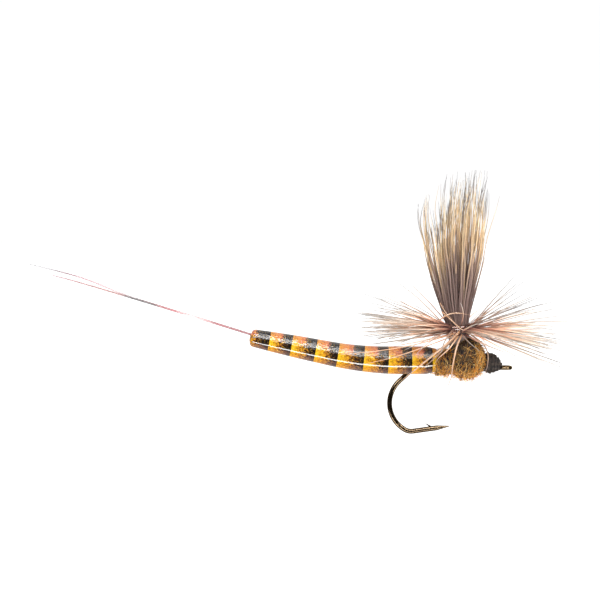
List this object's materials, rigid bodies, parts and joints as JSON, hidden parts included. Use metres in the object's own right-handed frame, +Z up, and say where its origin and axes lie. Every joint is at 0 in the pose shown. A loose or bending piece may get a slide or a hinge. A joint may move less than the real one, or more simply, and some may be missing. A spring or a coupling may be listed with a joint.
{
  "type": "dry fly",
  "caption": "Parachute dry fly: barbed hook, banded extended abdomen with tail fibres, upright hair wing post, wound hackle, dubbed thorax and thread head.",
  "frame": {"origin": "centre of the hook eye", "axes": "+X forward along the shank and out of the eye, +Y to the fly's left, +Z up towards the wing tips"},
  "size_m": [0.0534, 0.0198, 0.0267],
  "materials": {
    "hook_wire": "black bronze, glossy",
    "tying_thread": "waxed dark grey thread",
    "foam_core": "soft closed-cell foam",
    "printed_film": "stretched film printed in dark brown to amber bands",
    "clear_coat": "clear flexible varnish",
    "tail_fibre": "fine tapered fibre, dusky pink with a grey length",
    "wing_hair": "deer hair, taupe with a tan band and dark tips",
    "hackle": "pinkish tan feather barbs, grey at the tips",
    "dubbing": "spun fur, dark olive brown with amber",
    "leg_hair": "tan guard hair"
  },
  "bodies": {
    "hook_assembly": {"hook": "hook_wire", "thread_base": "tying_thread", "abdomen_core_front": "foam_core", "abdomen_film_front": "printed_film", "abdomen_coat_front": "clear_coat", "abdomen_binding": "tying_thread", "wing_butts": "wing_hair", "butt_binding": "tying_thread", "post_binding": "tying_thread", "hackle_stem": "hackle", "hackle_barbs": "hackle", "thorax_dubbing": "dubbing", "leg_hairs": "leg_hair", "thread_head": "tying_thread"},
    "abdomen": {"abdomen_core": "foam_core", "abdomen_film": "printed_film", "abdomen_coat": "clear_coat"},
    "tail": {"tail_fibre_left": "tail_fibre", "tail_fibre_right": "tail_fibre"},
    "wing": {"wing_hair": "wing_hair"}
  },
  "joints": [
    {"name": "abdomen_flex", "type": "hinge", "parent": "hook_assembly", "child": "abdomen", "pos_m": [-0.0112, 0, 0.00075], "axis": [0, 1, 0], "range_deg": [-8, 8], "stiffness_Nm_per_rad": 0.0003},
    {"name": "tail_flex", "type": "hinge", "parent": "abdomen", "child": "tail", "pos_m": [-0.02557, 0, 0.00305], "axis": [0, 1, 0], "range_deg": [-12, 12], "stiffness_Nm_per_rad": 0.000005},
    {"name": "wing_flex", "type": "hinge", "parent": "hook_assembly", "child": "wing", "pos_m": [-0.00475, 0, 0.00468], "axis": [0, 1, 0], "range_deg": [-12, 12], "stiffness_Nm_per_rad": 0.00002}
  ]
}
